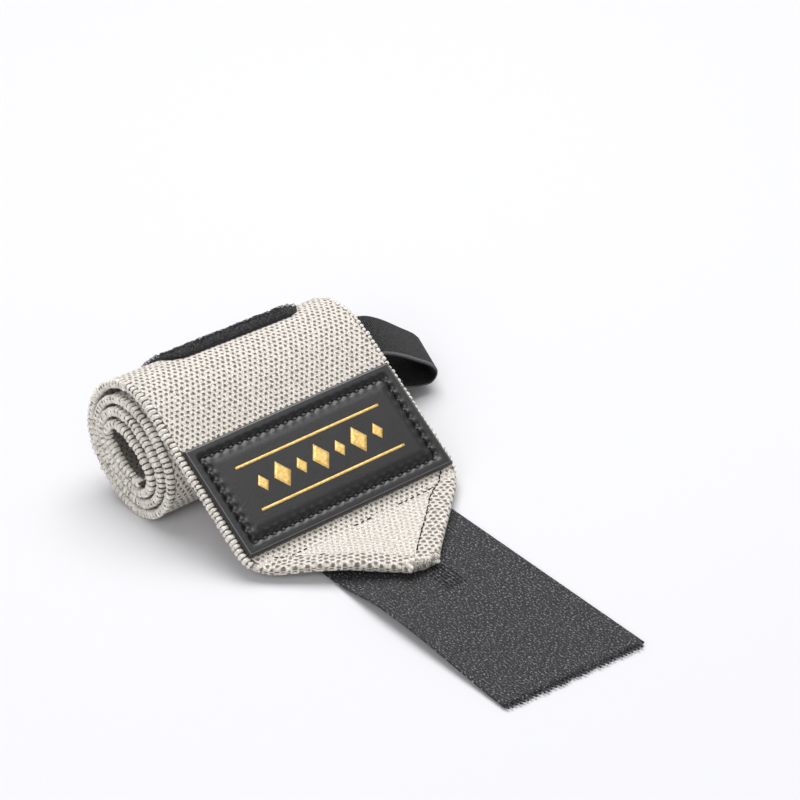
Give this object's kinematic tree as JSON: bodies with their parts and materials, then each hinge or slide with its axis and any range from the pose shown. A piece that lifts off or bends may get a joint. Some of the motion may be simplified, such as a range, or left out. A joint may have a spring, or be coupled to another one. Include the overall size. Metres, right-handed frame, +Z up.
{
  "type": "wrist wrap",
  "caption": "Elastic wrist wrap lying part unrolled: flattened roll with whipped edges, leather label patch, folded point, hook tab, loop strip and thumb loop.",
  "frame": {"origin": "on the table, under the middle of the object's bounding box", "axes": "+X along the roll's axis towards the end with the thumb loop, +Y from the hook tab towards the roll, +Z up"},
  "size_m": [0.1214, 0.1724, 0.0421],
  "materials": {
    "elastic_cloth": "matte knitted elastic",
    "patch_leather": "satin smooth leather",
    "loop_pile": "matte fuzzy pile",
    "hook_tape": "matte woven tape",
    "loop_elastic": "matte woven elastic"
  },
  "bodies": {
    "root": {"band": "elastic_cloth", "label_patch": "patch_leather", "loop_strip": "loop_pile", "hook_tab": "hook_tape", "thumb_loop": "loop_elastic"}
  },
  "joints": []
}
